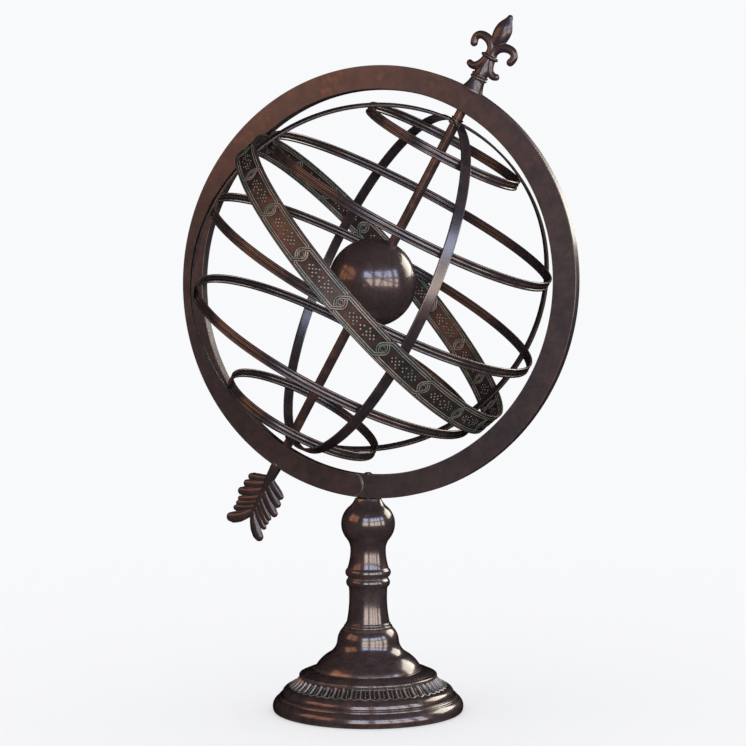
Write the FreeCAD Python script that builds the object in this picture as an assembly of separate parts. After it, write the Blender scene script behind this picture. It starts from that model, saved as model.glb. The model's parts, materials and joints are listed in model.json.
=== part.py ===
import FreeCAD, Part
import math
import os

# Armillary sphere on a turned stand. Millimetres, +Z up, origin on the stem's axis at the surface
# that the stand rests on. The outer ring stands in the XZ plane. The polar frame, used for the rod
# and everything on it, has its origin at the ring's centre, its Z along the rod and its Y along +Y.

# Outer ring
RING_OUTER_R = 190.0
RING_INNER_R = 169.0
RING_THICKNESS = 9.4
RING_CENTRE = FreeCAD.Vector(4.0, 0, 377.8)
RING_EDGE = 0.6                 # rounding of the ring's four edges
SEAM_R = 10.5                   # the ring's closing joint is an arc of this radius
SEAM_CENTRE = (-17.4, -178.2)   # x, z from the ring's centre
SEAM_WIDTH = 0.7
SEAM_DEPTH = 0.3

# Polar rod and what is on it
POLAR_TILT = 30.0               # degrees from vertical, towards +X
ROD_R = 4.3
ROD_SHOULDER = 168.9            # half the rod's length between the ring's inner faces
TENON_R = 3.0
FIT_GAP = 0.05                  # radial clearance of a plain fit
BALL_R = 39.0
BALL_WALL = 3.0
BALL_BOSS_R = 12.0
BALL_BOSS_LENGTH = 9.0
GRUB_R = 2.0
GRUB_HEIGHT = 33.5              # distance of the grub screw from the ball's centre, down the rod
GRUB_LENGTH = 8.0

# Cage of hoops that turns on the rod
COLURE_INNER_R = 157.6
COLURE_OUTER_R = 159.8
COLURE_WIDTH = 9.0
COLURE_EYE_R = 6.6              # each hoop widens to a round eye at the poles
COLURE_SPIN = {"solstice_colure": 40.0, "equinox_colure": 130.0}
LAP_GAP = 0.02                  # between the two halves of a half-lap joint
PARALLEL_OFFSET = {"arctic_ring": 135.4, "cancer_ring": 73.1, "equator_ring": 0.0,
                   "capricorn_ring": -73.1, "antarctic_ring": -135.4}
BEAD_R = 1.15                   # rounded edges of a parallel's section
BEAD_OFFSET = 3.25
RIB_HALF = 0.7
RIB_HEIGHT = 0.45
ECLIPTIC_INNER_R = 160.0
ECLIPTIC_OUTER_R = 162.3
ECLIPTIC_WIDTH = 23.0
ECLIPTIC_TILT = 21.0            # between the ecliptic's pole and the rod
ECLIPTIC_LEAN = 21.8            # direction of that tilt, degrees from the polar frame's X to its Y
RELIEF = 0.5                    # depth of the band's sunk ground
BORDER = (1.1, 1.9, 4.7)        # from the band's edge: end of rim, start and end of the inner line

# Bushes and clips at the poles
BUSH_R = 5.0
BUSH_FLANGE_R = 5.8
BUSH_RUNNING_GAP = 0.07
BUSH_INNER_END = 155.9
BUSH_FLANGE_END = 157.35
BUSH_OUTER_END = 160.9
CLIP_START = 161.3
CLIP_THICKNESS = 0.8
CLIP_R = 5.6
GROOVE_R = 3.7

# Stand
FELT_R = 79.0
FELT_THICKNESS = 1.5
RIM_LIP = 0.4                   # height of the lip that the foot's rim forms round the felt
RIM_LIP_R = 79.4
BASE_TOP = 36.5
BELL_TOP = 73.0
COLUMN_TOP = 117.3
BULB_TOP = 188.4
FLUTE_COUNT = 50
FLUTE_LOW = (70.9, 20.8)        # radius, height of the fluted slope's lower and upper edges
FLUTE_HIGH = (60.0, 30.4)
FLUTE_LENGTH = 12.6
FLUTE_WIDTH = 5.2
FLUTE_DEPTH = 1.2
FLUTE_RIB = 1.0
TIE_ROD_R = 5.0
TIE_ROD_SPAN = (2.6, 158.0)
BORE_R = 5.3
NUT_FLATS = 16.0
NUT_HEIGHT = 8.0
WASHER_R = 11.0
WASHER_THICKNESS = 1.6
NUT_RECESS_R = 14.0
NUT_RECESS_TOP = 14.0
RING_SCREW_R = 3.0
RING_SCREW_HEAD_R = 3.5
RING_SCREW_END = 170.0

# Finial and arrow feathers, in the polar frame's XZ plane
FINIAL_START = 204.0
FINIAL_TIP = 261.0
PETAL_THICKNESS = 6.4
CURL_CENTRE = (12.0, 226.4)
CURL_R = 8.5
CURL_TUBE = 2.7
LEAF_CENTRE = (12.8, 218.0)
LEAF_R = 9.5
LEAF_TUBE = 3.0
FEATHER_THICKNESS = 4.0
# Each barb: height where it leaves the spine, tip (x, height) and half width
BARBS = ((-204.6, (17.4, -212.6), 3.0), (-211.0, (18.2, -220.8), 3.2), (-218.5, (19.6, -230.2), 3.3),
         (-224.5, (17.0, -236.2), 1.9), (-229.5, (16.4, -240.9), 1.9), (-234.5, (16.7, -246.0), 1.9),
         (-239.5, (17.2, -256.6), 4.0))
NOTCH = -246.0

Vec = FreeCAD.Vector
X_AXIS = Vec(1, 0, 0)
Y_AXIS = Vec(0, 1, 0)
Z_AXIS = Vec(0, 0, 1)
ORIGIN = Vec(0, 0, 0)


# ---- helpers

def point(x, z):
    return Vec(x, 0, z)


def outline(start, *steps):
    """Closed wire in the XZ plane. A step (x, z) is a straight run, and a step
    ((x, z), (x, z)) is an arc through its first point to its second."""
    here = point(*start)
    edges = []
    for step in steps:
        if isinstance(step[0], tuple):
            there = point(*step[1])
            edges.append(Part.Arc(here, point(*step[0]), there).toShape())
        else:
            there = point(*step)
            edges.append(Part.LineSegment(here, there).toShape())
        here = there
    edges.append(Part.LineSegment(here, point(*start)).toShape())
    return Part.Wire(edges)


def turned(start, *steps):
    """Solid of revolution about Z."""
    return Part.Face(outline(start, *steps)).revolve(ORIGIN, Z_AXIS, 360)


def plate(wire, thickness):
    """Flat plate, centred on the XZ plane."""
    face = Part.Face(wire)
    face.translate(Vec(0, -thickness / 2, 0))
    return face.extrude(Vec(0, thickness, 0))


def cylinder(radius, low, high):
    """Cylinder on the Z axis between two heights."""
    return Part.makeCylinder(radius, high - low, Vec(0, 0, low))


def tube(inner_r, outer_r, low, high):
    return cylinder(outer_r, low, high).cut(cylinder(inner_r, low, high))


def mirror_x(shape):
    return shape.mirror(ORIGIN, X_AXIS)


def flip_poles(shape):
    """The same piece at the other end of the rod."""
    turned_over = shape.copy()
    turned_over.rotate(ORIGIN, Y_AXIS, 180)
    return turned_over


def in_polar_frame(shape):
    placed = shape.copy()
    placed.rotate(ORIGIN, Y_AXIS, POLAR_TILT)
    placed.translate(RING_CENTRE)
    return placed


def fused(shapes):
    return shapes[0].multiFuse(shapes[1:]).removeSplitter()


# ---- stand

def base_felt():
    return cylinder(FELT_R, 0, FELT_THICKNESS)


def flute_cutters():
    """Round-ended sunk flutes on the sloping band, each with a thin rib left down its middle."""
    rise = FLUTE_HIGH[1] - FLUTE_LOW[1]
    run = FLUTE_LOW[0] - FLUTE_HIGH[0]
    slope = math.degrees(math.atan2(rise, run))
    half = FLUTE_LENGTH / 2 - FLUTE_WIDTH / 2
    deep = 2 * FLUTE_DEPTH
    slot = Part.makeBox(2 * half, FLUTE_WIDTH, deep, Vec(-half, -FLUTE_WIDTH / 2, -FLUTE_DEPTH))
    ends = [Part.makeCylinder(FLUTE_WIDTH / 2, deep, Vec(x, 0, -FLUTE_DEPTH)) for x in (-half, half)]
    rib = Part.makeBox(1.6 * half, FLUTE_RIB, FLUTE_DEPTH, Vec(-0.8 * half, -FLUTE_RIB / 2, -FLUTE_DEPTH))
    flute = fused([slot] + ends).cut(rib)
    flute.rotate(ORIGIN, Y_AXIS, slope)
    middle = Vec((FLUTE_LOW[0] + FLUTE_HIGH[0]) / 2, 0, (FLUTE_LOW[1] + FLUTE_HIGH[1]) / 2)
    flute.translate(middle)
    cutters = []
    for index in range(FLUTE_COUNT):
        cutter = flute.copy()
        cutter.rotate(ORIGIN, Z_AXIS, index * 360.0 / FLUTE_COUNT)
        cutters.append(cutter)
    return cutters


def base_plate():
    """Round foot: two rounded steps, a fluted slope and a domed top, hollow underneath."""
    low = FELT_THICKNESS
    solid = turned((NUT_RECESS_R, low), (18, low), (18, 26), (50, 26), (62, 18), (72, 10), (76, low),
                   (RIM_LIP_R, low), (RIM_LIP_R, RIM_LIP), (83.0, RIM_LIP), (83.8, 1.4),
                   ((83.9, 6.9), (79.2, 12.2)), (76.0, 12.7), ((75.0, 17.6), (71.3, 21.0)),
                   FLUTE_LOW, FLUTE_HIGH, (59.4, 32.0), ((53.9, 34.9), (47.6, BASE_TOP)),
                   (BORE_R, BASE_TOP), (BORE_R, NUT_RECESS_TOP), (NUT_RECESS_R, NUT_RECESS_TOP))
    return solid.cut(Part.makeCompound(flute_cutters()))


def stem_bell():
    """Lower turning of the stem: an ogee bell with a rounded shoulder."""
    return turned((BORE_R, BASE_TOP), (47.0, BASE_TOP), ((43.3, 42.7), (35.8, 49.5)),
                  ((29.9, 54.6), (27.3, 61.0)), ((25.9, 67.5), (21.9, BELL_TOP)), (BORE_R, BELL_TOP))


def stem_column():
    """Middle turning: two fillets, a waisted shaft and a bead."""
    return turned((BORE_R, BELL_TOP), (21.0, BELL_TOP), ((21.5, 74.2), (20.8, 75.4)),
                  ((20.3, 76.5), (19.2, 77.5)), ((16.9, 95.0), (17.1, 108.6)),
                  ((19.4, 112.9), (18.0, 116.6)), (18.0, COLUMN_TOP), (BORE_R, COLUMN_TOP))


def stem_bulb():
    """Upper turning: a bead, a neck and the bulb, saddled on top to seat the ring."""
    solid = turned((TIE_ROD_R + FIT_GAP, COLUMN_TOP), (18.0, COLUMN_TOP), ((20.1, 121.6), (18.4, 125.2)),
                   ((16.4, 133.2), (15.7, 141.0)), ((16.3, 146.6), (18.2, 150.8)),
                   ((23.9, 165.2), (17.4, 179.8)), ((13.4, 183.6), (11.2, BULB_TOP)),
                   (0, BULB_TOP), (0, 160), (TIE_ROD_R + FIT_GAP, 160))
    saddle = cylinder(RING_OUTER_R, -20, 20)
    saddle.rotate(ORIGIN, X_AXIS, 90)
    saddle.translate(RING_CENTRE)
    screw_hole = cylinder(RING_SCREW_R + FIT_GAP, RING_SCREW_END - 2, BULB_TOP)
    return solid.cut(saddle).cut(screw_hole)


def stem_tie_rod():
    return cylinder(TIE_ROD_R, *TIE_ROD_SPAN)


def base_washer():
    return tube(BORE_R, WASHER_R, NUT_RECESS_TOP - WASHER_THICKNESS, NUT_RECESS_TOP)


def base_nut():
    corner_r = NUT_FLATS / 2 / math.cos(math.radians(30))
    corners = [Vec(corner_r * math.cos(a), corner_r * math.sin(a), 0)
               for a in (math.radians(60 * i) for i in range(7))]
    top = NUT_RECESS_TOP - WASHER_THICKNESS
    body = Part.Face(Part.makePolygon(corners)).extrude(Vec(0, 0, NUT_HEIGHT))
    body.translate(Vec(0, 0, top - NUT_HEIGHT))
    return body.cut(cylinder(TIE_ROD_R + FIT_GAP, top - NUT_HEIGHT, top))


# ---- outer ring

def seam_groove(side):
    """Fine arc-shaped joint line on one face of the ring."""
    depth = RING_THICKNESS / 2 - SEAM_DEPTH
    groove = tube(SEAM_R - SEAM_WIDTH / 2, SEAM_R + SEAM_WIDTH / 2, depth, RING_THICKNESS)
    groove = groove.common(Part.makeBox(30, 60, 30, Vec(0, -30, 0)))
    groove.rotate(ORIGIN, X_AXIS, 90 * side)
    groove.translate(point(*SEAM_CENTRE))
    return groove


def outer_ring():
    half = RING_THICKNESS / 2
    ring = tube(RING_INNER_R, RING_OUTER_R, -half, half)
    ring = ring.makeFillet(RING_EDGE, [e for e in ring.Edges if isinstance(e.Curve, Part.Circle)])
    ring.rotate(ORIGIN, X_AXIS, 90)
    ring = ring.cut(Part.makeCompound([seam_groove(1), seam_groove(-1)]))
    rod_holes = cylinder(TENON_R + FIT_GAP, -RING_OUTER_R - 10, RING_OUTER_R + 10)
    rod_holes.rotate(ORIGIN, Y_AXIS, POLAR_TILT)
    screw_hole = cylinder(RING_SCREW_R + FIT_GAP, -RING_OUTER_R - 10, -RING_INNER_R + 10)
    screw_hole.translate(Vec(-RING_CENTRE.x, 0, 0))
    ring = ring.cut(rod_holes).cut(screw_hole)
    ring.translate(RING_CENTRE)
    return ring


def ring_screw():
    """Dome-headed screw on the stem's axis that holds the ring down on the bulb."""
    seat = RING_CENTRE.z - RING_INNER_R + 0.2
    r = RING_SCREW_HEAD_R
    return turned((0, RING_SCREW_END), (RING_SCREW_R, RING_SCREW_END), (RING_SCREW_R, seat), (r, seat),
                  (r, seat + 0.5), ((0.7 * r, seat + 1.25), (1.0, seat + 1.6)), (0, seat + 1.6))


# ---- rod, ball, finial and feathers (polar frame)

def polar_rod():
    """Straight rod with shoulders against the ring's inner face, tenons through it and two clip grooves."""
    rod = fused([cylinder(ROD_R, -ROD_SHOULDER, ROD_SHOULDER), cylinder(TENON_R, -203.0, 214.0)])
    groove = tube(GROOVE_R, ROD_R + 1, CLIP_START - 0.05, CLIP_START + CLIP_THICKNESS + 0.05)
    return rod.cut(groove).cut(flip_poles(groove))


def ball_boss(low):
    return cylinder(BALL_BOSS_R, low, low + BALL_BOSS_LENGTH)


def centre_ball():
    """Hollow ball with a boss inside at each pole, bored for the rod and tapped for a grub screw."""
    shell = Part.makeSphere(BALL_R).cut(Part.makeSphere(BALL_R - BALL_WALL))
    whole = Part.makeSphere(BALL_R)
    top_boss = ball_boss(BALL_R - BALL_BOSS_LENGTH).common(whole)
    ball = fused([shell, top_boss, flip_poles(top_boss)])
    bore = cylinder(ROD_R + 0.03, -BALL_R - 1, BALL_R + 1)
    tapped = Part.makeCylinder(GRUB_R + 0.02, BALL_R, Vec(0, 0, -GRUB_HEIGHT), Y_AXIS)
    return ball.cut(bore).cut(tapped)


def ball_grub_screw():
    return Part.makeCylinder(GRUB_R, GRUB_LENGTH, Vec(0, ROD_R + 0.05, -GRUB_HEIGHT), Y_AXIS)


def finial_collar():
    """Cone on the ring's rim, topped by a double bead."""
    solid = turned((TENON_R + FIT_GAP, 188.5), (9.4, 188.5), (9.2, 190.0), ((7.6, 194.4), (6.5, 199.4)),
                   ((7.3, 200.7), (6.6, 201.8)), ((7.3, 202.9), (6.5, FINIAL_START)),
                   (TENON_R + FIT_GAP, FINIAL_START))
    rim = cylinder(RING_OUTER_R, -20, 20)
    rim.rotate(ORIGIN, X_AXIS, 90)
    return solid.cut(rim)


def hooked_tube(centre, bend_r, tube_r, start_deg, end_deg):
    """Tube bent round a centre in the XZ plane, from one angle to a smaller one, with a ball end."""
    sweep = start_deg - end_deg
    bend = Part.makeTorus(bend_r, tube_r, ORIGIN, Z_AXIS, 0, 360, sweep)
    bend.rotate(ORIGIN, X_AXIS, 90)
    bend.rotate(ORIGIN, Y_AXIS, -end_deg)
    bend.translate(point(*centre))
    ends = []
    for angle in (math.radians(start_deg), math.radians(end_deg)):
        at = point(centre[0] + bend_r * math.cos(angle), centre[1] + bend_r * math.sin(angle))
        ends.append(Part.makeSphere(tube_r, at))
    return fused([bend] + ends)


def fleur_finial():
    """Fleur-de-lis head: a lance petal, two curled petals, two lower leaves and a binding band."""
    petal = plate(outline((1.8, 222.0), ((4.6, 233.0), (7.0, 243.0)), ((6.4, 253.0), (0.5, FINIAL_TIP)),
                          (-0.5, FINIAL_TIP), ((-6.4, 253.0), (-7.0, 243.0)),
                          ((-4.6, 233.0), (-1.8, 222.0))), PETAL_THICKNESS)
    core = turned((0, FINIAL_START), (6.2, FINIAL_START), ((4.6, 210.0), (3.6, 219.0)), (3.4, 226.0),
                  (0, 226.0))
    band = cylinder(7.6, 219.8, 222.6).common(Part.makeBox(20, 9.6, 10, Vec(-10, -4.8, 217)))
    curl = hooked_tube(CURL_CENTRE, CURL_R, CURL_TUBE, 190, -25)
    leaf = hooked_tube(LEAF_CENTRE, LEAF_R, LEAF_TUBE, 275, 180)
    shapes = [core, petal, band, curl, leaf, mirror_x(curl), mirror_x(leaf)]
    socket = cylinder(TENON_R + FIT_GAP, FINIAL_START, 215.0)
    return fused(shapes).cut(socket)


def barb(root, tip, half_width):
    """Flat round-ended bar from the spine out to a feather's tip."""
    start = point(0, root)
    end = point(*tip)
    length = start.distanceToPoint(end)
    bar = outline((0, -half_width), (length, -half_width),
                  ((length + half_width, 0), (length, half_width)), (0, half_width))
    solid = plate(bar, FEATHER_THICKNESS)
    solid.rotate(ORIGIN, Y_AXIS, -math.degrees(math.atan2(tip[1] - root, tip[0])))
    solid.translate(start)
    return solid


def arrow_feathers():
    """Tapered shaft with seven barbs a side, bored for the rod's lower tenon."""
    shaft = turned((0, -189.0), (5.0, -189.0), (4.9, -192.0), ((4.3, -204.0), (2.6, -214.0)),
                   (1.8, NOTCH), (0, NOTCH))
    rim = cylinder(RING_OUTER_R, -20, 20)
    rim.rotate(ORIGIN, X_AXIS, 90)
    right = [barb(*values) for values in BARBS]
    left = [mirror_x(shape) for shape in right]
    socket = cylinder(TENON_R + FIT_GAP, -204.0, -185.0)
    return fused([shaft.cut(rim)] + right + left).cut(socket)


# ---- cage (polar frame)

def colure(name):
    """Flat hoop through both poles, with an eye at each that is half-lapped with the other hoop's."""
    wide = tube(COLURE_INNER_R, COLURE_OUTER_R, -COLURE_EYE_R - 1, COLURE_EYE_R + 1)
    wide.rotate(ORIGIN, X_AXIS, 90)
    strip = Part.makeBox(400, COLURE_WIDTH, 400, Vec(-200, -COLURE_WIDTH / 2, -200))
    eyes = cylinder(COLURE_EYE_R, -200, 200)
    hoop = wide.common(strip.fuse(eyes))
    lap = (COLURE_INNER_R + COLURE_OUTER_R) / 2
    reach = COLURE_EYE_R + 0.05
    if name == "equinox_colure":
        notch = cylinder(reach, lap + LAP_GAP / 2 - 20, lap + LAP_GAP / 2)
    else:
        notch = cylinder(reach, lap - LAP_GAP / 2, lap + 20)
    bush_hole = cylinder(BUSH_R + 0.02, -COLURE_OUTER_R - 5, COLURE_OUTER_R + 5)
    hoop = hoop.cut(notch).cut(flip_poles(notch)).cut(bush_hole)
    hoop.rotate(ORIGIN, Z_AXIS, COLURE_SPIN[name])
    return hoop


def parallel(offset):
    """Circle of latitude: a web with eight-sided beads along both edges and a low rib between them."""
    reach = COLURE_INNER_R - 0.03 - BEAD_R
    mid = math.sqrt(reach ** 2 - (abs(offset) + BEAD_OFFSET) ** 2)
    web_half = BEAD_R * math.sin(math.radians(22.5))
    upper = [(web_half + RIB_HEIGHT, RIB_HALF / 2), (web_half, RIB_HALF)]
    for corner in range(8):
        angle = math.radians(45 * corner - 67.5)
        upper.append((BEAD_R * math.cos(angle), BEAD_OFFSET + BEAD_R * math.sin(angle)))
    upper += [(-web_half, RIB_HALF), (-web_half - RIB_HEIGHT, RIB_HALF / 2)]
    section = upper + [(x, -z) for x, z in reversed(upper)]
    return turned(*[(mid + x, offset + z) for x, z in section])


def ecliptic_band():
    """Broad band outside the colures, with a rim and an inner line along both edges."""
    edge = ECLIPTIC_WIDTH / 2
    rim_end, line_start, line_end = (edge - step for step in BORDER)
    low = ECLIPTIC_OUTER_R - RELIEF
    high = ECLIPTIC_OUTER_R
    band = turned((ECLIPTIC_INNER_R, -edge), (high, -edge), (high, -rim_end), (low, -rim_end),
                  (low, -line_start), (high, -line_start), (high, -line_end), (low, -line_end),
                  (low, line_end), (high, line_end), (high, line_start), (low, line_start),
                  (low, rim_end), (high, rim_end), (high, edge), (ECLIPTIC_INNER_R, edge))
    band.rotate(ORIGIN, Y_AXIS, ECLIPTIC_TILT)
    band.rotate(ORIGIN, Z_AXIS, ECLIPTIC_LEAN)
    return band


def pole_bush():
    """Flanged bush in the colures' crossing, running on the rod."""
    bush = fused([cylinder(BUSH_R, BUSH_INNER_END, BUSH_OUTER_END),
                  cylinder(BUSH_FLANGE_R, BUSH_INNER_END, BUSH_FLANGE_END)])
    return bush.cut(cylinder(ROD_R + BUSH_RUNNING_GAP, BUSH_INNER_END, BUSH_OUTER_END))


def pole_clip():
    """Open spring clip in the rod's groove, which keeps the cage from sliding."""
    clip = tube(GROOVE_R + FIT_GAP, CLIP_R, CLIP_START, CLIP_START + CLIP_THICKNESS)
    mouth = Part.makeBox(CLIP_R + 1, 5.0, CLIP_THICKNESS, Vec(0, -2.5, CLIP_START))
    mouth.rotate(ORIGIN, Z_AXIS, 90)
    return clip.cut(mouth)


# ---- the whole object

def all_parts():
    parts = {"base_felt": base_felt(), "base_plate": base_plate(), "stem_bell": stem_bell(),
             "stem_column": stem_column(), "stem_bulb": stem_bulb(), "stem_tie_rod": stem_tie_rod(),
             "base_washer": base_washer(), "base_nut": base_nut(), "outer_ring": outer_ring(),
             "ring_screw": ring_screw()}
    polar = {"polar_rod": polar_rod(), "centre_ball": centre_ball(), "ball_grub_screw": ball_grub_screw(),
             "finial_collar": finial_collar(), "fleur_finial": fleur_finial(),
             "arrow_feathers": arrow_feathers(), "ecliptic_band": ecliptic_band(),
             "upper_pole_bush": pole_bush(), "lower_pole_bush": flip_poles(pole_bush()),
             "upper_pole_clip": pole_clip(), "lower_pole_clip": flip_poles(pole_clip())}
    for name in COLURE_SPIN:
        polar[name] = colure(name)
    for name, offset in PARALLEL_OFFSET.items():
        polar[name] = parallel(offset)
    for name, shape in polar.items():
        parts[name] = in_polar_frame(shape)
    return parts


os.makedirs("parts", exist_ok=True)
for node, shape in all_parts().items():
    print(node, "valid" if shape.isValid() else "INVALID", "solids", len(shape.Solids),
          "volume %.0f mm3" % shape.Volume)
    shape.exportStep("parts/%s.step" % node)
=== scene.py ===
import json
import math

import bpy
import numpy as np
from mathutils import Euler, Matrix, Vector

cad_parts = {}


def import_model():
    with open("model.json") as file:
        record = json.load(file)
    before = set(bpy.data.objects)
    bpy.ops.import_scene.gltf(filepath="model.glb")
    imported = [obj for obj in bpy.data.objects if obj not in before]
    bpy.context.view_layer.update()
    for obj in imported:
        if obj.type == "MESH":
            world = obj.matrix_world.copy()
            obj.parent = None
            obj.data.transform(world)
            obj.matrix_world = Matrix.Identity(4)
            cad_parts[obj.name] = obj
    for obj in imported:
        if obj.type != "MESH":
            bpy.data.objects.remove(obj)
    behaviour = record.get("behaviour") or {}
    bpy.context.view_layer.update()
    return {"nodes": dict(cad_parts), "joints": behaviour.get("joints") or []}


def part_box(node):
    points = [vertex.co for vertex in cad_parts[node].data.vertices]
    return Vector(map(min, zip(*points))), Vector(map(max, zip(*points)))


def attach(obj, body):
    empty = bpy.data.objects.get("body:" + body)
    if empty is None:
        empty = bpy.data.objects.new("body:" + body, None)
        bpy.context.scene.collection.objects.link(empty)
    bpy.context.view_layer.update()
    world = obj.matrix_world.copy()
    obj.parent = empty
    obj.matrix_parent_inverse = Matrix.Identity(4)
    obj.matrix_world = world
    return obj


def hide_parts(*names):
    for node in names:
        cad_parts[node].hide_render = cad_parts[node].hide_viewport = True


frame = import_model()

MM = 0.001

# ---- places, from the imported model

JOINT = frame["joints"][0]
CENTRE = Vector(JOINT["pos_m"])
AXIS = Vector(JOINT["axis"]).normalized()
ring_low, ring_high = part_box("outer_ring")
RING_R = (ring_high.x - ring_low.x) / 2
POLAR = Matrix.Translation(CENTRE) @ Matrix(
    ((AXIS.z, 0, AXIS.x), (0, 1, 0), (-AXIS.x, 0, AXIS.z))).to_4x4()
ROOT, CAGE = "stand", "cage"

# ---- sizes in millimetres, radii unless they say otherwise

STEM_BORE = 5.5
FLUTES = 50
FLUTE_PHASE = 0.85                      # turns the flutes, in flutes
FLUTE_TOP_Z, FLUTE_BOTTOM_Z = 30.3, 21.5
FLUTE_COLUMNS = 28                      # mesh columns to one flute
RING_INNER, RING_OUTER, RING_HALF = 169.0, 189.9, 4.7
JOINT_X, JOINT_Z, JOINT_R = -17.4, -178.2, 10.5    # arc-shaped brazed joint, from the ring's centre
JOINT_LIFT = 0.999                                 # share of the joint's profile that stands on the face
BALL_R, ROD_R, BALL_HOLE_R = 39.0, 4.36, 5.2
COLURE_INNER, COLURE_OUTER, COLURE_HALF, COLURE_EYE = 157.6, 159.8, 4.5, 6.6
PARALLELS = {"arctic_ring": 135.4, "cancer_ring": 73.1, "equator_ring": 0.0,
             "capricorn_ring": -73.1, "antarctic_ring": -135.4}
EDGE_BEAD_R, EDGE_BEAD_Y = 1.15, 3.25   # beads along a parallel's two edges
BAND_INNER, BAND_OUTER, BAND_HALF = 160.0, 162.3, 11.5
BAND_TILT, BAND_LEAN = math.radians(21.0), math.radians(21.8)
PANELS, PANEL_LENGTH = 20, 51.0
KNOT_X, KNOT_R = 25.5, 4.38
FIRST_KNOT = math.radians(12.8)
STRAND_Y, STRAND_END, STRAND_HALF = 8.2, 23.5, 1.75
CAP_ROWS = 7                            # rows in a tube's rounded end


# ---- geometry helpers (millimetres in, metres out)

def arc(start, middle, end, spacing):
    """Points along the circle through three points, leaving out the first."""
    (ax, ay), (bx, by), (cx, cy) = start, middle, end
    d = 2 * (ax * (by - cy) + bx * (cy - ay) + cx * (ay - by))
    a2, b2, c2 = ax * ax + ay * ay, bx * bx + by * by, cx * cx + cy * cy
    ux = (a2 * (by - cy) + b2 * (cy - ay) + c2 * (ay - by)) / d
    uy = (a2 * (cx - bx) + b2 * (ax - cx) + c2 * (bx - ax)) / d
    radius = math.hypot(ax - ux, ay - uy)
    t0 = math.atan2(ay - uy, ax - ux)
    tm = (math.atan2(by - uy, bx - ux) - t0) % (2 * math.pi)
    t1 = (math.atan2(cy - uy, cx - ux) - t0) % (2 * math.pi)
    if tm > t1:
        t1 -= 2 * math.pi
    count = max(2, int(abs(t1) * radius / spacing))
    return [(ux + radius * math.cos(t0 + t1 * k / count), uy + radius * math.sin(t0 + t1 * k / count))
            for k in range(1, count + 1)]


def trace(start, *steps, spacing=0.6, soften=0.45):
    """Outline from straight runs (x, y) and arcs ((x, y), (x, y)), with its corners softened."""
    points = [start]
    for step in steps:
        if isinstance(step[0], tuple):
            points += arc(points[-1], step[0], step[1], spacing)
        else:
            a, b = np.array(points[-1]), np.array(step)
            count = max(1, int(np.linalg.norm(b - a) / spacing))
            points += [tuple(a + (b - a) * k / count) for k in range(1, count + 1)]
    p = np.array(points, float)
    run = np.concatenate([[0], np.cumsum(np.linalg.norm(np.diff(p, axis=0), axis=1))])
    count = max(4, int(run[-1] / spacing))
    even = np.linspace(0, run[-1], count + 1)
    p = np.stack([np.interp(even, run, p[:, k]) for k in (0, 1)], 1)
    reach = max(1, int(3 * soften / spacing))
    kernel = np.exp(-0.5 * (np.arange(-reach, reach + 1) * spacing / soften) ** 2)
    kernel /= kernel.sum()
    before = 2 * p[0] - p[reach:0:-1]
    after = 2 * p[-1] - p[-2:-2 - reach:-1]
    padded = np.concatenate([before, p, after])
    return np.stack([np.convolve(padded[:, k], kernel, "valid") for k in (0, 1)], 1)


def smooth_step(x):
    x = np.clip(x, 0, 1)
    return x * x * (3 - 2 * x)


def bump(x, width):
    """Bell curve of height 1 about x = 0."""
    return np.exp(-(x / width) ** 2)


def turn_angles(steps):
    return np.arange(steps) * 2 * math.pi / steps


def cavity_of(mesh, passes, scale):
    """How far each vertex lies under its neighbourhood's surface (+) or above it (-), in units of scale."""
    n = len(mesh.vertices)
    co = np.zeros(n * 3, np.float32)
    mesh.vertices.foreach_get("co", co)
    co = co.reshape(-1, 3).astype(float)
    edges = np.zeros(len(mesh.edges) * 2, np.int32)
    mesh.edges.foreach_get("vertices", edges)
    edges = edges.reshape(-1, 2)
    a = np.concatenate([edges[:, 0], edges[:, 1]])
    b = np.concatenate([edges[:, 1], edges[:, 0]])
    degree = np.maximum(np.bincount(a, minlength=n), 1)
    mean = co.copy()
    for _ in range(passes):
        mean = np.stack([np.bincount(a, weights=mean[b, k], minlength=n) / degree for k in range(3)], 1)
    normals = np.zeros(n * 3, np.float32)
    mesh.vertex_normals.foreach_get("vector", normals)
    return ((mean - co) * normals.reshape(-1, 3)).sum(1) / (scale * MM)


def set_value(mesh, name, values):
    layer = mesh.attributes.new(name, "FLOAT", "POINT")
    layer.data.foreach_set("value", np.asarray(values, np.float32).ravel())


def mesh_from(name, points, faces):
    """Mesh from an (n, 3) array in millimetres and an (m, 4) array of quads, facing outwards."""
    mesh = bpy.data.meshes.new(name)
    co = np.asarray(points, float).reshape(-1, 3)
    tri = co[faces[:, :3]]
    tri2 = co[faces[:, [0, 2, 3]]]
    volume = np.einsum("ij,ij->", tri[:, 0], np.cross(tri[:, 1], tri[:, 2]))
    volume += np.einsum("ij,ij->", tri2[:, 0], np.cross(tri2[:, 1], tri2[:, 2]))
    if volume < 0:
        faces = faces[:, ::-1]
    mesh.vertices.add(len(co))
    mesh.vertices.foreach_set("co", (co * MM).astype(np.float32).ravel())
    mesh.loops.add(faces.size)
    mesh.loops.foreach_set("vertex_index", faces.astype(np.int32).ravel())
    mesh.polygons.add(len(faces))
    mesh.polygons.foreach_set("loop_start", np.arange(0, faces.size, 4, dtype=np.int32))
    mesh.polygons.foreach_set("use_smooth", np.ones(len(faces), bool))
    mesh.update(calc_edges=True)
    mesh.validate()
    return mesh


def wrap_faces(rows, cols):
    """Quads of a grid that wraps round both ways."""
    i, j = np.meshgrid(np.arange(rows), np.arange(cols), indexing="ij")
    i2, j2 = (i + 1) % rows, (j + 1) % cols
    return np.stack([i * cols + j, i * cols + j2, i2 * cols + j2, i2 * cols + j], -1).reshape(-1, 4)


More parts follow.
